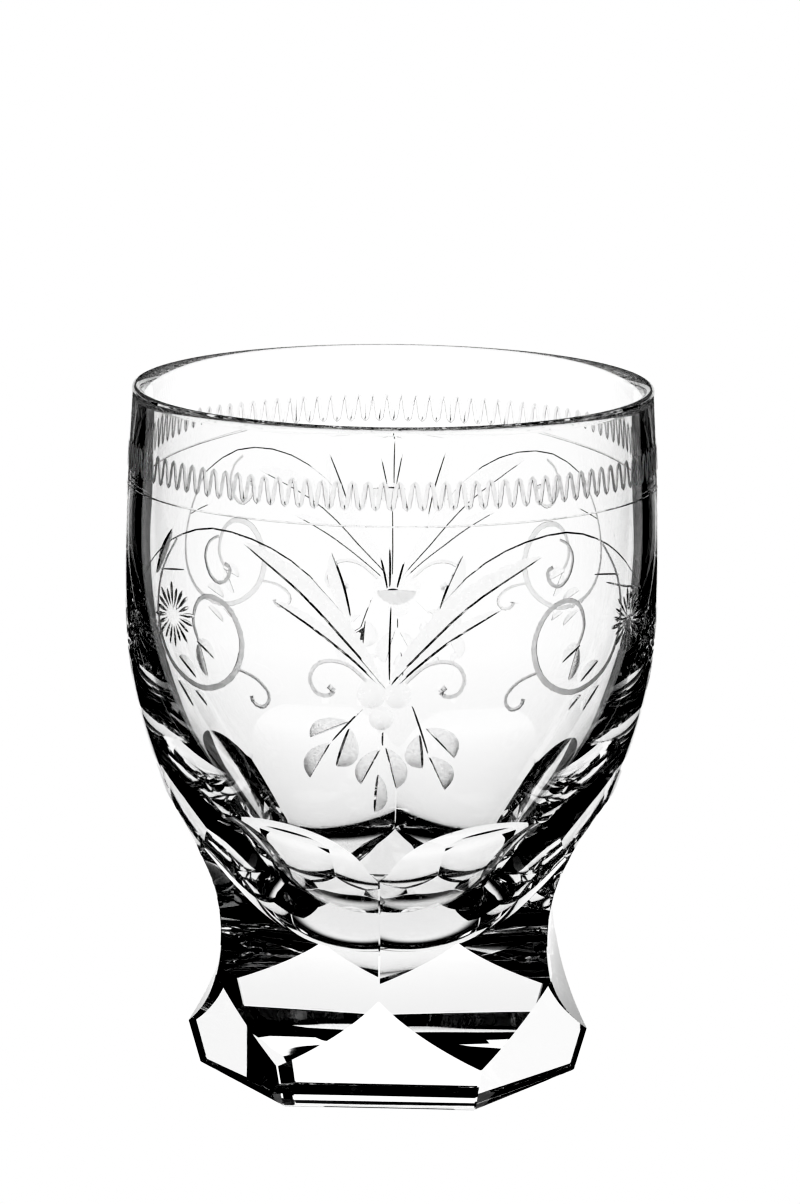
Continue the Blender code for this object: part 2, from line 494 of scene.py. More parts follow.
def flow(points):
    """A smooth flat line through a few points given in millimetres."""
    knots = [Vector(point) * MM for point in points]
    ends = [knots[0]] + knots + [knots[-1]]
    path = []
    for before, start, end, after in zip(ends, ends[1:], ends[2:], ends[3:]):
        leaving = start + (end - before) / 6.0
        arriving = end - (after - start) / 6.0
        path += interpolate_bezier(start, leaving, arriving, end, FLOW_STEPS)[:-1]
    path.append(knots[-1])
    return path


print("two points give a line of", len(flow([(0.0, 0.0), (1.0, 1.0)])), "places")

# %% [markdown]
# ## The engraver's tools
# Scrolls are ground with a small stone wheel that leaves a shallow, frosted trough. A round bar bent
# along the line, held so that only its belly dips into the glass, cuts that trough. The bar is a curve
# with a round bevel: its thickness and its lift follow the width of the stroke, so a stroke can taper.
# A hand is never quite even, so the width wanders a little.

# %% The round bar
WHEEL_SHARE = 1.0
LIFT_SHARE = math.sqrt(WHEEL_SHARE ** 2 - 0.25)
HAND_WOBBLE = 0.1
QUICK_WOBBLE = 2.6
SLOW_WOBBLE = 0.9
SHORTEST_TAPER = 0.01


def bar(name, places, radii, closed=False):
    """A round bar through places in space, as a mesh."""
    curve = bpy.data.curves.new(name, "CURVE")
    curve.dimensions = "3D"
    curve.bevel_depth = 1.0
    curve.bevel_resolution = 2
    curve.use_fill_caps = True
    spline = curve.splines.new("POLY")
    spline.points.add(len(places) - 1)
    spline.use_cyclic_u = closed
    for knot, place, radius in zip(spline.points, places, radii):
        knot.co = (*place, 1.0)
        knot.radius = radius
    tool = bpy.data.objects.new(name, curve)
    bpy.context.scene.collection.objects.link(tool)
    select_only(tool)
    bpy.ops.object.convert(target="MESH")
    return bpy.context.object


def stroke(points, width, turn, mirror, start, end, swell):
    """A scroll stroke that grows from its start to full width and falls to its end."""
    path = flow(points)
    places = []
    radii = []
    for index, point in enumerate(path):
        share = index / (len(path) - 1)
        grow = start + (1.0 - start) * min(1.0, share / max(swell * 0.5, SHORTEST_TAPER))
        fall = end + (1.0 - end) * min(1.0, (1.0 - share) / max(1.0 - swell * 0.5, SHORTEST_TAPER))
        wobble = HAND_WOBBLE * math.sin(QUICK_WOBBLE * index) * math.sin(SLOW_WOBBLE * index)
        local = width * min(grow, fall) * (1.0 + wobble)
        places.append(wrap(point.x * mirror, point.y, LIFT_SHARE * local, turn))
        radii.append(WHEEL_SHARE * local)
    return bar("stroke", places, radii)


print("lift of the bar, by width:", round(LIFT_SHARE, 3))

# %% [markdown]
# Leaves and lines are mitre cuts: a sharp wheel held at a slant leaves one steep wall along the line
# and one broad facet beside it. The blade that cuts it is an eight-sided rod. Each of its rings is laid
# across the leaf, and its depth swells from the tip to the middle and dies away again.

# %% The blade
BLADE_CORNERS = 8
BLADE_RINGS = 15
BLADE_CLEAR = 0.25 * MM
BLADE_LIFT = 0.02 * MM
FACET_SPARE = 0.05 * MM
WALL_SPARE = 0.02 * MM
BACK_REACH = 1.2
BACK_RISE = 0.45
# How deep a facet still is at two places across its width
FACET_PLACES = (0.4, 0.75)
HOLLOW = (0.84, 0.44)
STRAIGHT = (0.6, 0.25)
SCOOPED = (0.9, 0.58)

bpy.ops.mesh.primitive_cylinder_add(vertices=BLADE_CORNERS, radius=1.0, depth=2.0)
blank = bpy.context.object
blank.name = "blade_blank"
edges_where(blank, lambda first, second: abs(first.z - second.z) > 1.0)
bpy.ops.mesh.subdivide(number_cuts=BLADE_RINGS - 2)
bpy.ops.object.mode_set(mode="OBJECT")
print("blade blank:", len(blank.data.vertices), "points")


# %% Lay the blade along a leaf
def leaf(points, width, depth, wall, side, turn, mirror=1, fullest=0.5, fullness=1.0, hollow=HOLLOW):
    """A mitre cut: a steep wall along the line and a hollow facet that fades out on one side of it."""
    path = flow(points)
    tool = bpy.data.objects.new("leaf", blank.data.copy())
    bpy.context.scene.collection.objects.link(tool)
    skew = math.log(0.5) / math.log(fullest)
    rings = []
    for ring in range(BLADE_RINGS):
        share = ring / (BLADE_RINGS - 1)
        place = share * (len(path) - 1)
        index = min(int(place), len(path) - 2)
        point = path[index].lerp(path[index + 1], place - index)
        ahead = (path[index + 1] - path[index]).normalized()
        aside = Vector((-ahead.y, ahead.x)) * side
        swell = max(math.sin(math.pi * share ** skew), 0.0) ** fullness
        sunk = depth * swell - BLADE_LIFT
        broad = width * swell + FACET_SPARE
        steep = wall * swell + WALL_SPARE
        section = [
            (-steep - FACET_SPARE, BLADE_CLEAR),
            (-steep, 0.0),
            (0.0, -sunk),
            (FACET_PLACES[0] * broad, -hollow[0] * sunk),
            (FACET_PLACES[1] * broad, -hollow[1] * sunk),
            (broad, 0.0),
            (BACK_REACH * broad, BACK_RISE * sunk + BLADE_LIFT),
            (BACK_REACH * broad, BLADE_CLEAR + BACK_RISE * sunk),
        ]
        rings.append([
            wrap((point.x + aside.x * out) * mirror, point.y + aside.y * out, lift, turn)
            for out, lift in section
        ])
    for vertex in tool.data.vertices:
        ring = round((vertex.co.z + 1.0) / 2.0 * (BLADE_RINGS - 1))
        angle = math.atan2(vertex.co.y, vertex.co.x)
        corner = round(angle / (2.0 * math.pi / BLADE_CORNERS)) % BLADE_CORNERS
        vertex.co = rings[ring][corner]
    return tool


# %% The ball, and a pass of the wheel
BALL_SEGMENTS = 96
BALL_RINGS = 48


def dip(centre, radius, depth, turn):
    """A round petal: the hollow that a ball leaves in the skin."""
    ball = (radius ** 2 + depth ** 2) / (2.0 * depth)
    bpy.ops.mesh.primitive_uv_sphere_add(segments=BALL_SEGMENTS, ring_count=BALL_RINGS, radius=ball)
    tool = bpy.context.object
    tool.location = wrap(centre[0] * MM, centre[1] * MM, ball - depth, turn)
    apply_place(tool)
    return tool


def engrave(tools, finish):
    """Joins tools, gives them one finish and cuts them into the bowl in one pass."""
    bpy.ops.object.select_all(action="DESELECT")
    for tool in tools:
        tool.data.materials.clear()
        tool.data.materials.append(finish)
        tool.select_set(True)
    bpy.context.view_layer.objects.active = tools[0]
    bpy.ops.object.join()
    joined = bpy.context.object
    close_mesh(joined)
    cut_away(bowl, joined)
    print("cut", len(tools), "tools; bowl has", len(bowl.data.polygons), "faces")


# %% [markdown]
# ## The drawing
# A motif is a spray: two long leaves and two shorter ones rise from a root, a bud stands between them,
# three round petals sit on the root and a fan of half petals hangs below it. Scrolls and small leaves
# fill the sides. Sprays like these are traditional engraver's ornament. Each line is given by a few
# points in millimetres from the root, and the same spray is cut on the front and back.

# %% The leaves and the bud, in millimetres from the root
# Each leaf is its line and the side on which its facet lies
LONG_LEAVES = [
    ([(0.3, 0.2), (3.5, 3.9), (12.1, 11.9), (22.9, 17.9)], 1),
    ([(-0.2, 0.0), (-4.7, 5.3), (-12.5, 13.2), (-21.6, 19.5)], -1),
]
SHORT_LEAVES = [
    ([(0.9, 0.0), (4.5, 3.3), (9.5, 7.1), (16.4, 10.9)], 1),
    ([(-0.9, 0.3), (-5.2, 4.3), (-10.8, 8.4), (-16.4, 11.7)], -1),
]
UPPER_LEAVES = [
    ([(7.3, 11.4), (8.7, 15.0), (10.6, 19.0)], -1),
    ([(-5.2, 10.2), (-6.3, 14.6), (-8.0, 19.3)], 1),
]
BUD = ([(-1.6, 14.0), (1.2, 14.1), (4.0, 14.0)], -1)
BUD_LINES = [
    [(0.4, 0.7), (0.4, 6.0), (0.5, 12.0)],
    [(-0.1, 14.3), (-0.6, 16.5), (-1.1, 18.8)],
    [(0.2, 14.4), (0.2, 17.0), (0.15, 20.3)],
    [(1.3, 14.4), (1.8, 16.2), (2.3, 18.2)],
]
BUD_EDGE = [(-0.1, 14.05), (0.7, 14.1), (1.5, 14.05)]
print("leaves:", len(LONG_LEAVES) + len(SHORT_LEAVES) + len(UPPER_LEAVES))

# %% The scrolls and stems
ARCH_STEM = [
    (6.0, 10.4), (12.0, 16.4), (19.0, 19.8), (27.0, 20.8), (34.0, 18.8), (39.5, 15.5), (44.0, 11.5),
]
ROOT_CURL = [
    (2.6, 0.9), (5.2, 3.2), (7.8, 3.9), (10.0, 3.2), (11.0, 1.2), (10.2, -0.7), (8.6, -1.2), (7.6, -0.5),
    (8.3, 0.2),
]
SIDE_SCROLL = [
    (29.4, 4.2), (30.6, 7.2), (29.6, 10.2), (27.2, 11.2), (24.2, 10.2), (22.2, 7.6), (21.6, 4.5),
    (22.8, 1.0), (25.5, -1.3), (29.2, -2.2), (33.2, -1.1), (36.4, 1.2), (38.6, 5.0), (39.0, 9.5),
    (37.6, 14.0), (34.4, 18.4),
]
HOOK = [
    (22.6, 1.4), (21.2, 1.1), (19.2, 0.3), (17.6, -1.2), (17.4, -2.6), (18.4, -3.6), (19.8, -3.2),
    (20.2, -2.2),
]
SPIRAL = [
    (25.7, 20.0), (27.4, 19.0), (28.2, 17.0), (27.4, 14.6), (25.8, 13.4), (24.2, 14.0), (23.7, 15.6),
    (24.7, 16.2),
]
TICK = [(38.5, 13.4), (35.5, 13.8), (32.5, 14.2)]
FEATHER = [(-35.6, 19.6), (-38.0, 16.6), (-39.7, 12.6)]
LOOSE_TICKS = [[(35.2, 12.7), (40.0, 11.4), (45.2, 10.5)], [(37.9, 6.6), (43.0, 6.8), (49.0, 7.5)]]
print("the side scroll has", len(SIDE_SCROLL), "points")

# %% The petals and daisies
# Each round petal is its middle and its radius
ROUND_PETALS = [((-2.2, -0.7), 2.3), ((1.5, -0.8), 2.15), ((-0.8, -4.2), 1.9)]
# The straight edge of each half petal, the side it swells to and how far it swells
FAN_PETALS = [
    ((-5.4, -4.9), (-11.3, -7.5), -1, 1.9),
    ((-8.2, -8.1), (-11.8, -13.6), -1, 2.1),
    ((-5.3, -5.7), (-7.5, -11.6), 1, 2.5),
    ((-0.9, -8.8), (-3.9, -14.2), -1, 1.9),
    ((-0.2, -8.5), (1.5, -14.8), 1, 2.3),
    ((4.7, -6.6), (5.3, -11.7), -1, 2.4),
    ((5.6, -5.7), (10.1, -10.3), 1, 2.3),
    ((6.2, -9.9), (9.0, -15.1), 1, 2.4),
    ((-1.2, -12.6), (-1.8, -18.4), 1, 1.7),
]
FAN_STEMS = [[(-3.4, -2.9), (-8.0, -7.9)], [(3.5, -2.3), (6.1, -9.7)], [(-0.5, -6.2), (-0.55, -8.3)]]
SIDE_LEAVES = [
    ((30.0, 4.4), (26.6, 2.3), -1, 1.5),
    ((34.0, 1.6), (30.4, -1.0), -1, 1.4),
    ((29.5, 4.2), (28.0, -0.4), 1, 1.1),
    ((30.8, -2.9), (28.6, -4.8), -1, 1.0),
    ((34.6, -2.0), (31.6, -5.4), -1, 1.1),
]
# Middle, number of petals, bare middle and reach of each daisy
DAISIES = [
    ((-35.1, 7.4), 20, 1.2, 4.9),
    ((41.4, 6.4), 20, 1.2, 4.9),
    ((-58.5, -0.5), 16, 1.4, 7.5),
    ((58.5, -0.5), 16, 1.4, 7.5),
]
print("half petals:", len(FAN_PETALS), "daisies:", len(DAISIES))

# %% [markdown]
# ## The bands under the rim
# A wriggle runs round the bowl near the rim, with a fine line below it. The wriggle comes from a wheel
# that rocks from side to side as the glass turns, so its turns are round and its sides almost upright.
# It could be a bump in the material, but a real cut bends the light. The bar goes a little thick and
# thin along the way, which leaves the beaded look of a rocking wheel.

# %% Cut the bands
WRIGGLE_COUNT = 110
WRIGGLE_STEPS = 16
WRIGGLE_MIDDLE = 91.4 * MM
WRIGGLE_REACH = 1.75 * MM
WRIGGLE_SQUARENESS = 1.5
WRIGGLE_WIDTHS = [0.8 * MM, 0.64 * MM]
HAIRLINE_STEPS = 720
HAIRLINE_HEIGHT = 87.2 * MM
HAIRLINE_WIDTH = 0.14 * MM
HAIRLINE_LIFT = 0.2


def ring_bar(steps, height_at, widths, lift):
    """A closed stroke all the way round the bowl, its width going through the widths in turn."""
    places = []
    radii = []
    for step in range(steps):
        angle = 2.0 * math.pi * step / steps
        width = widths[step % len(widths)]
        places.append(wrap(angle * BELLY_RADIUS, height_at(angle) - ROOT_HEIGHT, lift * width, 0.0))
        radii.append(WHEEL_SHARE * width)
    return bar("ring", places, radii, closed=True)


def wriggle_height(angle):
    """A wave with upright sides and round turns, as a rocking wheel leaves it."""
    wave = math.tanh(WRIGGLE_SQUARENESS * math.sin(WRIGGLE_COUNT * angle)) / math.tanh(WRIGGLE_SQUARENESS)
    return WRIGGLE_MIDDLE + WRIGGLE_REACH * wave


wriggle = ring_bar(WRIGGLE_COUNT * WRIGGLE_STEPS, wriggle_height, WRIGGLE_WIDTHS, LIFT_SHARE)
engrave([wriggle], soft_ground)
hairline = ring_bar(HAIRLINE_STEPS, lambda angle: HAIRLINE_HEIGHT, [HAIRLINE_WIDTH], HAIRLINE_LIFT)
engrave([hairline], cut_polish)

# %% [markdown]
# ## Leaves, bud and petals
# A leaf is two cuts. A broad wheel, tilted, leaves a shallow satin facet, and then a thin sharp wheel
# runs along its edge and leaves a deep line, which looks black because its walls throw the light aside.
# Lines at the back are finer, as in the photograph. Cuts that touch go into separate passes, so that
# each pass is a set of clean, separate tools.

# %% The deep line and the shallow facet
LINE_WIDTH = 0.3 * MM
LINE_DEPTH = 0.48 * MM
LINE_WALL = 0.06 * MM
LINE_FULLNESS = 0.55
FRONT_LINE = 1.15
BACK_LINE = 0.62
FACET_WALL = 0.06 * MM
FACET_FULLNESS = 0.8

turns = [MOTIF_TURN, MOTIF_TURN + math.pi]
sides = [(turn, mirror) for turn in turns for mirror in (1, -1)]


def line_cut(points, turn, mirror, share):
    """A deep narrow line, almost as full at its ends as in the middle, its broad wall above."""
    above = 1 if points[-1][0] >= points[0][0] else -1
    share *= FRONT_LINE if turn == MOTIF_TURN else BACK_LINE
    return leaf(
        points, LINE_WIDTH * share, LINE_DEPTH * share, LINE_WALL * share, above, turn, mirror,
        fullness=LINE_FULLNESS, hollow=STRAIGHT,
    )


def facet_cut(points, width, depth, side, turn, mirror=1, fullest=0.5, hollow=HOLLOW):
    """A shallow hollow facet beside a line, its width in millimetres."""
    return leaf(points, width * MM, depth, FACET_WALL, side, turn, mirror, fullest, FACET_FULLNESS, hollow)


print("full line at the front:", round(LINE_WIDTH * FRONT_LINE / MM, 3), "mm wide")

# %% Cut the leaves and the bud
FACET_DEPTH = 0.08 * MM
PETAL_DEPTH = 0.36 * MM
BUD_WIDTH = 2.0
LEAF_LINE = 0.7
BUD_LINE = 0.55
# Leaves, the width of their facets in millimetres, and where they are fullest
LEAF_SETS = ((LONG_LEAVES, 2.5, 0.6), (SHORT_LEAVES, 1.5, 0.6), (UPPER_LEAVES, 1.8, 0.5))

for leaves, width, fullest in LEAF_SETS:
    facets = [
        facet_cut(points, width, FACET_DEPTH, side, turn, 1, fullest)
        for turn in turns for points, side in leaves
    ]
    engrave(facets, satin)
bud_line, bud_side = BUD
buds = [facet_cut(bud_line, BUD_WIDTH, PETAL_DEPTH, bud_side, turn, hollow=STRAIGHT) for turn in turns]
engrave(buds, frosted)
# Leaves meet at the root, so a pass takes a long one and the short one opposite
passes = [
    ([LONG_LEAVES[0][0], SHORT_LEAVES[1][0]], LEAF_LINE),
    ([LONG_LEAVES[1][0], SHORT_LEAVES[0][0]], LEAF_LINE),
    ([points for points, side in UPPER_LEAVES], LEAF_LINE),
    (BUD_LINES, BUD_LINE),
    ([BUD_EDGE], LEAF_LINE),
]
for lines, share in passes:
    engrave([line_cut(points, turn, 1, share) for turn in turns for points in lines], cut_polish)

# %% Cut the petals
ROUND_PETAL_DEPTH = 0.3 * MM
FAN_FULLEST = 0.58
FAN_LINE = 0.85
FAN_STEM_LINE = 0.5

for centre, radius in ROUND_PETALS:
    engrave([dip(centre, radius * MM, ROUND_PETAL_DEPTH, turn) for turn in turns], satin)
for first in range(3):
    facets = [
        facet_cut(petal[:2], petal[3], PETAL_DEPTH, petal[2], turn, 1, FAN_FULLEST, SCOOPED)
        for turn in turns for petal in FAN_PETALS[first::3]
    ]
    engrave(facets, soft_ground)
for first in range(2):
    fan = FAN_PETALS[first::2]
    engrave([line_cut(petal[:2], turn, 1, FAN_LINE) for turn in turns for petal in fan], cut_polish)
engrave([line_cut(points, turn, 1, FAN_STEM_LINE) for turn in turns for points in FAN_STEMS], cut_polish)

# %% Cut the small leaves at the sides
SIDE_LEAF_DEPTH = 0.2 * MM
SIDE_LEAF_LINE = 0.6

for first in range(2):
    leaves = SIDE_LEAVES[first::2]
    facets = [
        facet_cut(petal[:2], petal[3], SIDE_LEAF_DEPTH, petal[2], turn, mirror)
        for turn, mirror in sides for petal in leaves
    ]
    engrave(facets, satin)
    lines = [line_cut(edge[:2], turn, mirror, SIDE_LEAF_LINE) for turn, mirror in sides for edge in leaves]
    engrave(lines, cut_polish)

# %% [markdown]
# ## Scrolls, stems and daisies
# The scrolls are broad, frosted strokes with thick round ends. The stems that arch over them are thin
# polished lines. A daisy is a ring of thin cuts round a bare middle. It could be one petal and an array,
# but hand-cut petals differ in length, and they are cut in two passes so that neighbours stay apart.

# %% Cut the scrolls and the stems
SCROLL_WIDTH = 1.15 * MM
STEM_LINE = 0.42
FEATHER_WIDTH = 1.3
FEATHER_DEPTH = 0.3 * MM
TICK_LINE = 0.6
# Each curl and its width in millimetres
CURLS = ((ROOT_CURL, 1.05), (HOOK, 1.05), (SPIRAL, 0.9))

scrolls = [
    stroke(SIDE_SCROLL, SCROLL_WIDTH, turn, mirror, start=0.5, end=0.35, swell=0.9)
    for turn, mirror in sides
]
engrave(scrolls, frosted)
curls = [
    stroke(points, width * MM, turn, mirror, start=0.7, end=1.0, swell=1.6)
    for points, width in CURLS for turn, mirror in sides
]
engrave(curls, frosted)
stems = [
    line_cut(points, turn, mirror, STEM_LINE)
    for points in (ARCH_STEM, TICK) for turn, mirror in sides
]
engrave(stems, cut_polish)
engrave([facet_cut(FEATHER, FEATHER_WIDTH, FEATHER_DEPTH, 1, MOTIF_TURN)], frosted)
engrave([line_cut(points, MOTIF_TURN, 1, TICK_LINE) for points in LOOSE_TICKS + [FEATHER]], cut_polish)

# %% Cut the daisies
DAISY_DEPTH = 0.22 * MM
DAISY_START = 0.3
DAISY_FULLEST = 0.62
DAISY_FILL = 0.62
DAISY_FACET = 0.6
DAISY_WALL = 0.4
UNEVEN_REACH = 0.1
UNEVEN_RATE = 3.7


def daisy(centre, count, inner, outer, turn, first):
    """Every second petal that radiates from a bare middle, each a thin mitre cut."""
    tools = []
    for index in range(first, count, 2):
        angle = 2.0 * math.pi * (index + DAISY_START) / count
        reach = outer * (1.0 - UNEVEN_REACH + UNEVEN_REACH * math.cos(UNEVEN_RATE * index))
        ray = Vector((math.cos(angle), math.sin(angle)))
        line = [Vector(centre) + ray * inner, Vector(centre) + ray * reach]
        broad = DAISY_FILL * math.pi * (inner + reach) / count * MM
        facet = broad * DAISY_FACET
        tools.append(leaf(line, facet, DAISY_DEPTH, broad * DAISY_WALL, 1, turn, fullest=DAISY_FULLEST))
    return tools


for first in range(2):
    engrave([petal for flower in DAISIES for petal in daisy(*flower, MOTIF_TURN, first)], cut_polish)
bpy.data.objects.remove(blank, do_unlink=True)

# %% [markdown]
# ## Exact normals
# Clear glass shows the smallest error in its normals, because each ray bends twice or more. Smooth
# shading only averages the faces around a point, and it blurs the shallow edge where a flute runs out
# into the belly. Every polished surface here is known exactly: the turned profile and the twelve
# wheels. So each face takes the normals of the surface it lies on, and the edges between stay crisp.

# %% The exact surfaces
FINE_SAMPLES = 1500

turned_path = sample_profile(bowl_profile, 0, len(bowl_profile) - 1, FINE_SAMPLES)
turned_tree = KDTree(len(turned_path))
for index, sample in enumerate(turned_path):
    turned_tree.insert((sample.x, sample.y, 0.0), index)
turned_tree.balance()


def turned_surface(place):
    """How far a place lies from the turned profile, and the profile's normal there."""
    index, error = turned_tree.find((place.xy.length, place.z, 0.0))[1:]
    index = min(max(index, 1), len(turned_path) - 2)
    along = (turned_path[index + 1] - turned_path[index - 1]).normalized()
    outward = place.xy.normalized()
    return error, Vector((-along.y * outward.x, -along.y * outward.y, along.x))


def wheel_surface(place, angle, reach, stretch):
    """How far a place lies from the rim of a wheel, and the normal of the hollow that it cuts."""
    facing = Vector((math.cos(angle), math.sin(angle)))
    across = place.xy.dot(facing) - reach - FLUTE_RADIUS * stretch
    up = place.z - WAIST_HEIGHT
    error = abs(math.hypot(across / stretch, up) - FLUTE_RADIUS)
    slope = Vector((-across / stretch ** 2, -up)).normalized()
    return error, Vector((slope.x * facing.x, slope.x * facing.y, slope.y))


surfaces = [(turned_surface, ())] + [(wheel_surface, wheel) for wheel in wheels]
print("exact surfaces:", len(surfaces))

# %% Give each polished face the normals of its own surface
CLOSE_MATCH = 0.985
ROUGHLY_NEAR = 0.1 * MM
NEAR_ENOUGH = 0.012 * MM
FOOT_SMOOTH_ANGLE = math.radians(16.0)
FOOT_FLAT_AREA = 8.0 * MM * MM
BOWL_SMOOTH_ANGLE = math.radians(20.0)
NO_FLAT_AREA = 1.0


def surface_under(face, corners):
    """The exact surface that a face lies on, or None."""
    best = None
    best_match = CLOSE_MATCH
    for surface, setting in surfaces:
        error, normal = surface(face.center, *setting)
        match = normal.dot(face.normal)
        if error < ROUGHLY_NEAR and match > best_match:
            if all(surface(corner, *setting)[0] < NEAR_ENOUGH for corner in corners):
                best = (surface, setting)
                best_match = match
    return best


def true_normals(piece, angle, flat_area):
    """Smooth shading with exact normals on polished surfaces and flat normals on large facets."""
    select_only(piece)
    bpy.ops.object.shade_smooth_by_angle(angle=angle)
    mesh = piece.data
    normals = [Vector((0.0, 0.0, 0.0))] * len(mesh.loops)
    counted = 0
    for face in mesh.polygons:
        if face.material_index != 0:
            continue
        corners = [mesh.vertices[index].co for index in face.vertices]
        under = surface_under(face, corners)
        if under is None and face.area < flat_area:
            continue
        counted += 1
        for loop, corner in zip(face.loop_indices, corners):
            normals[loop] = under[0](corner, *under[1])[1] if under else face.normal.copy()
    mesh.normals_split_custom_set(normals)
    print(piece.name, "exact normals on", counted, "of", len(mesh.polygons), "faces")


true_normals(foot, FOOT_SMOOTH_ANGLE, FOOT_FLAT_AREA)
true_normals(bowl, BOWL_SMOOTH_ANGLE, NO_FLAT_AREA)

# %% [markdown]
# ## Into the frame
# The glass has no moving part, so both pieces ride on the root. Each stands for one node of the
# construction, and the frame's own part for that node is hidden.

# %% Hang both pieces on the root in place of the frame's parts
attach(bowl, "root")
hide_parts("bowl")
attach(foot, "root")
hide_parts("foot")
print("pieces in the frame:", bowl.name, foot.name)

# %% [markdown]
# ## The studio
# Clear glass has no colour of its own. What is seen in it is the studio, bent and mirrored. Glass is
# photographed in a bright field: a white sheet runs from under the glass to a bright wall, and black
# cards leave only a lane of it, so that the edges of the glass turn black. Lamps could light it too,
# but plates that simply glow have outlines that can be drawn. All of them hang on one empty, the
# turntable, which will later face the camera.

# %% Plates that glow
bpy.ops.object.empty_add(location=(0.0, 0.0, 0.0))
turntable = bpy.context.object
turntable.name = "turntable"


def glow(name, strength):
    """A plain white material that gives its own light."""
    material = bpy.data.materials.new(name)
    material.use_nodes = True
    nodes = material.node_tree.nodes
    nodes.clear()
    output = nodes.new("ShaderNodeOutputMaterial")
    emission = nodes.new("ShaderNodeEmission")
    set_inputs(emission, {"Strength": strength})
    wire(material.node_tree, [(emission, 0, output, 0)])
    return material


def plate(name, corners, material):
    """A flat plate of the stage, from its corners."""
    mesh = bpy.data.meshes.new(name)
    mesh.from_pydata(corners, [], [tuple(range(len(corners)))])
    thing = bpy.data.objects.new(name, mesh)
    bpy.context.scene.collection.objects.link(thing)
    thing.data.materials.append(material)
    return thing


def hang(thing):
    """Hangs a plate on the turntable, where only the glass sees it."""
    thing.visible_camera = False
    thing.parent = turntable


print("the plates hang on", turntable.name)

# %% [markdown]
# The white sheet is painted brighter towards the wall and darker near the glass. Under the foot it
# carries a painted shadow: seen steeply it is white, but at a slant it goes almost black, and that
# gives the dark gable over the foot. Layer Weight tells how slanted a ray is.

# %% The glow of the white sheet, with a painted shadow under the foot
SHEET_NEAR = -20.0 * MM
SHEET_FAR = 190.0 * MM
# Painted falloff of light: the sheet glows less near the glass than towards the wall
SHEET_NEAR_GLOW = 0.85
SHEET_FAR_GLOW = 1.2
# Inside this radius under the foot the sheet carries a painted shadow that darkens slanted rays
SHADED_RADIUS = 26.0 * MM
STEEP_VIEW = 0.25
SLANTED_VIEW = 0.55
PAINTED_SHADOW_GLOW = 0.02


def add_range(nodes, low, high, to_low, to_high):
    """A node that maps one range of values to another."""
    ranged = nodes.new("ShaderNodeMapRange")
    set_inputs(ranged, {"From Min": low, "From Max": high, "To Min": to_low, "To Max": to_high})
    return ranged


def sheet_with_painted_shadow(name):
    """A white sheet, painted brighter towards the wall, with a painted shadow under the foot for slanted
    rays.
    """
    material = glow(name, 1.0)
    nodes = material.node_tree.nodes
    emission = next(node for node in nodes if node.type == "EMISSION")
    place = nodes.new("ShaderNodeTexCoord")
    split = nodes.new("ShaderNodeSeparateXYZ")
    fade = add_range(nodes, SHEET_NEAR, SHEET_FAR, SHEET_NEAR_GLOW, SHEET_FAR_GLOW)
    slant = nodes.new("ShaderNodeLayerWeight")
    set_inputs(slant, {"Blend": 0.5})
    # Painted shadow: slanted rays under the foot get almost no glow
    painted_shadow = add_range(nodes, STEEP_VIEW, SLANTED_VIEW, 1.0, PAINTED_SHADOW_GLOW)
    painted_shadow.interpolation_type = "SMOOTHSTEP"
    reach = nodes.new("ShaderNodeVectorMath")
    reach.operation = "LENGTH"
    outside = add_sum(nodes, "GREATER_THAN")
    outside.inputs[1].default_value = SHADED_RADIUS
    keep = add_sum(nodes, "MAXIMUM")
    strength = add_sum(nodes, "MULTIPLY")
    wire(material.node_tree, [
        (place, "Object", split, 0), (split, "Y", fade, "Value"), (slant, "Facing", painted_shadow, "Value"),
        (place, "Object", reach, 0), (reach, "Value", outside, 0), (outside, 0, keep, 0),
        (painted_shadow, 0, keep, 1), (fade, 0, strength, 0), (keep, 0, strength, 1),
        (strength, 0, emission, "Strength"),
    ])
    return material


sheet_glow = sheet_with_painted_shadow("table_glow")
print("sheet material:", len(sheet_glow.node_tree.nodes), "nodes")

# %% The lane between the black cards
# Distance behind the axis and half the width of the lane there, in millimetres
LANE = [
    (-25, 18), (0, 20), (15, 30), (28, 40), (45, 50), (65, 60), (105, 72), (165, 87), (280, 112),
    (385, 140), (660, 200),
]
SHEET_LEVEL = -0.2 * MM

right_edge = [(half * MM, depth * MM) for depth, half in LANE]
outline = right_edge + [(-across, depth) for across, depth in reversed(right_edge)]
table = plate("table", [(across, depth, SHEET_LEVEL) for across, depth in outline], sheet_glow)
hang(table)
print("lane of", len(outline), "corners")

# %% [markdown]
# The wall stands behind the glass, with two dark notches at its foot as if cards leaned on it. Higher
# up hang four small lamps, and the foot draws each one out to a white streak in its dark bands.

# %% The wall
WALL_DISTANCE = 0.7
WALL_GLOW = 1.15
WALL_LEFT = -0.85
WALL_RIGHT = 0.673
WALL_FOOT = -0.01
WALL_TOP = 0.21
NOTCH_INNER = 0.398
NOTCH_OUTER = 0.61
NOTCH_TOP = 0.127

wall_outline = [
    (WALL_LEFT, WALL_FOOT), (-NOTCH_OUTER, WALL_FOOT), (-NOTCH_OUTER, NOTCH_TOP),
    (-NOTCH_INNER, NOTCH_TOP), (-NOTCH_INNER, WALL_FOOT), (NOTCH_INNER, WALL_FOOT),
    (NOTCH_INNER, NOTCH_TOP), (NOTCH_OUTER, NOTCH_TOP), (NOTCH_OUTER, WALL_FOOT),
    (WALL_RIGHT, WALL_FOOT), (WALL_RIGHT, WALL_TOP), (WALL_LEFT, WALL_TOP),
]
wall_corners = [(across, WALL_DISTANCE, height) for across, height in wall_outline]
wall = plate("wall", wall_corners, glow("wall_glow", WALL_GLOW))
hang(wall)
print("wall of", len(wall_corners), "corners")

# %% The lamps
LAMP_DISTANCE = 1.3
LAMP_GLOW = 1.3
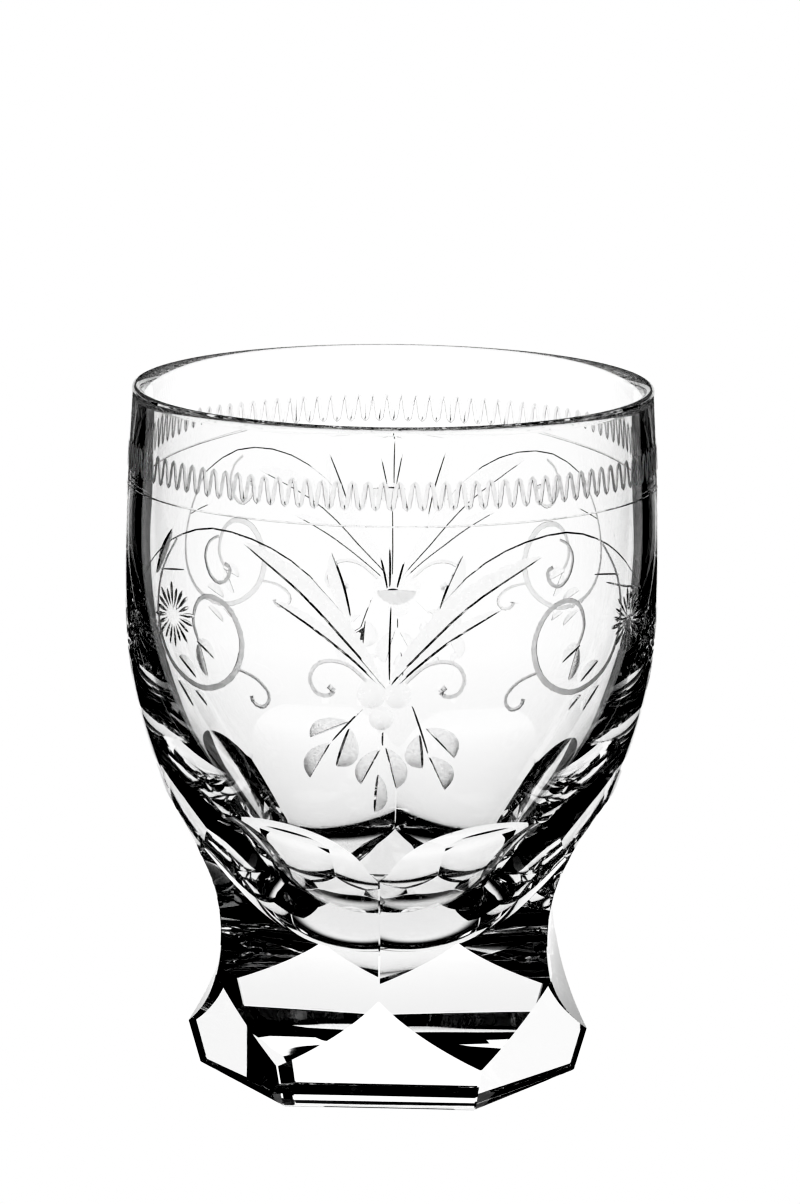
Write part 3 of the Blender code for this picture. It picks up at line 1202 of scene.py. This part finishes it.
# The corners of each lamp, as turns and rises in degrees seen from the glass
LAMPS = {
    "left_upper_lamp": [(31.5, 59.5), (28, 62.5), (23, 64), (20, 63), (20, 55), (24, 54.8), (28, 56.5)],
    "left_lower_lamp": [
        (26, 50.5), (23.6, 49.8), (22.3, 47.6), (21.2, 46.2), (21.4, 45), (22.4, 44.2), (23.5, 42.5),
        (26, 42.5),
    ],
    "right_upper_lamp": [(-22, 63), (-30, 64), (-38, 63), (-38, 57), (-32, 55.2), (-22, 54.2)],
    "right_lower_lamp": [
        (-25, 47.5), (-27.6, 49.5), (-29, 51.5), (-32, 53), (-32, 46), (-26, 45.5), (-24.7, 46.3),
    ],
}


def on_dome(turn, rise):
    """A place on a far dome around the glass, from its turn and rise in degrees."""
    flat = LAMP_DISTANCE * math.cos(math.radians(rise))
    return Vector((
        flat * math.sin(math.radians(turn)),
        flat * math.cos(math.radians(turn)),
        LAMP_DISTANCE * math.sin(math.radians(rise)),
    ))


lamp_glow = glow("strip_glow", LAMP_GLOW)
for name, corners in LAMPS.items():
    hang(plate(name, [on_dome(turn, rise) for turn, rise in corners], lamp_glow))
print("lamps:", list(LAMPS))

# %% [markdown]
# The camera itself sees only a plain white floor and a white room. Every other ray finds a room that
# is almost black, as a studio is with all lights off but the field behind the glass.

# %% The floor and the room
FLOOR_REACH = 9.0
FLOOR_LEVEL = -0.4 * MM
ROOM_GLOW = 0.004

floor_corners = [
    (across * FLOOR_REACH, depth * FLOOR_REACH, FLOOR_LEVEL)
    for across, depth in ((-1, -1), (1, -1), (1, 1), (-1, 1))
]
floor = plate("floor", floor_corners, glow("plain_floor", 1.0))
for kind in ("diffuse", "glossy", "transmission", "volume_scatter", "shadow"):
    setattr(floor, f"visible_{kind}", False)

room = bpy.data.worlds.new("studio")
bpy.context.scene.world = room
room.use_nodes = True
nodes = room.node_tree.nodes
nodes.clear()
output = nodes.new("ShaderNodeOutputWorld")
background = nodes.new("ShaderNodeBackground")
set_inputs(background, {"Color": WHITE})
ray_kind = nodes.new("ShaderNodeLightPath")
ambient = add_sum(nodes, "MAXIMUM")
ambient.inputs[1].default_value = ROOM_GLOW
wire(room.node_tree, [
    (ray_kind, "Is Camera Ray", ambient, 0), (ambient, 0, background, "Strength"),
    (background, 0, output, 0),
])
print("floor of", len(floor_corners), "corners; room glow", ROOM_GLOW)

# %% [markdown]
# ## The camera
# The camera stands about a metre away and a little above, with a long lens. Its turn, tilt, roll and
# lens were fitted to the outline of the glass. For another side a photographer turns the glass and
# leaves the studio standing, so here the turntable with the plates always faces the camera.

# %% Set up the camera
CAMERA_TURN = math.radians(2.64)
CAMERA_DISTANCE = 0.9945
CAMERA_HEIGHT = 0.2633
CAMERA_TILT = math.radians(11.044)
CAMERA_PAN = math.radians(0.072)
CAMERA_ROLL = math.radians(0.54)
SENSOR_WIDTH = 36.0
PHOTO_HEIGHT = 1204
FOCAL_PIXELS = 7025.7
FARTHEST_SEEN = 50.0

bpy.ops.object.camera_add()
camera = bpy.context.object
camera.data.sensor_width = SENSOR_WIDTH
camera.data.lens = FOCAL_PIXELS * camera.data.sensor_width / PHOTO_HEIGHT
camera.data.clip_end = FARTHEST_SEEN
camera.matrix_world = (
    Matrix.Rotation(CAMERA_TURN, 4, "Z")
    @ Matrix.Translation((0.0, -CAMERA_DISTANCE, CAMERA_HEIGHT))
    @ Matrix.Rotation(-CAMERA_PAN, 4, "Z")
    @ Matrix.Rotation(math.pi / 2.0 - CAMERA_TILT, 4, "X")
    @ Matrix.Rotation(CAMERA_ROLL, 4, "Z")
)
scene = bpy.context.scene
scene.camera = camera

track = turntable.constraints.new("LOCKED_TRACK")
track.target = camera
track.track_axis = "TRACK_NEGATIVE_Y"
track.lock_axis = "LOCK_Z"
print("lens", round(camera.data.lens, 1), "mm")

# %% [markdown]
# ## The print
# The photograph is a hard black-and-white print: deep shades go to black and light ones stay light. A
# curve over the finished picture does that; darker plates would move every tone. In thick glass, light
# is mirrored many times before it comes out, so many bounces are allowed.

# %% Contrast and bounces
# Each pair is a tone and the tone that it is printed as
PRINT_CONTRAST = [(0.03, 0.0), (0.1, 0.03), (0.25, 0.14), (0.5, 0.46), (0.75, 0.78), (0.9, 0.93)]
ALL_CHANNELS = 3
BOUNCES = 32

view = scene.view_settings
view.view_transform = "Standard"
view.use_curve_mapping = True
print_curve = view.curve_mapping.curves[ALL_CHANNELS]
for tone, printed in PRINT_CONTRAST:
    print_curve.points.new(tone, printed)
view.curve_mapping.update()
for kind in ("max_bounces", "transmission_bounces", "glossy_bounces", "transparent_max_bounces"):
    setattr(scene.cycles, kind, BOUNCES)
print("contrast curve of", len(print_curve.points), "points;", BOUNCES, "bounces")
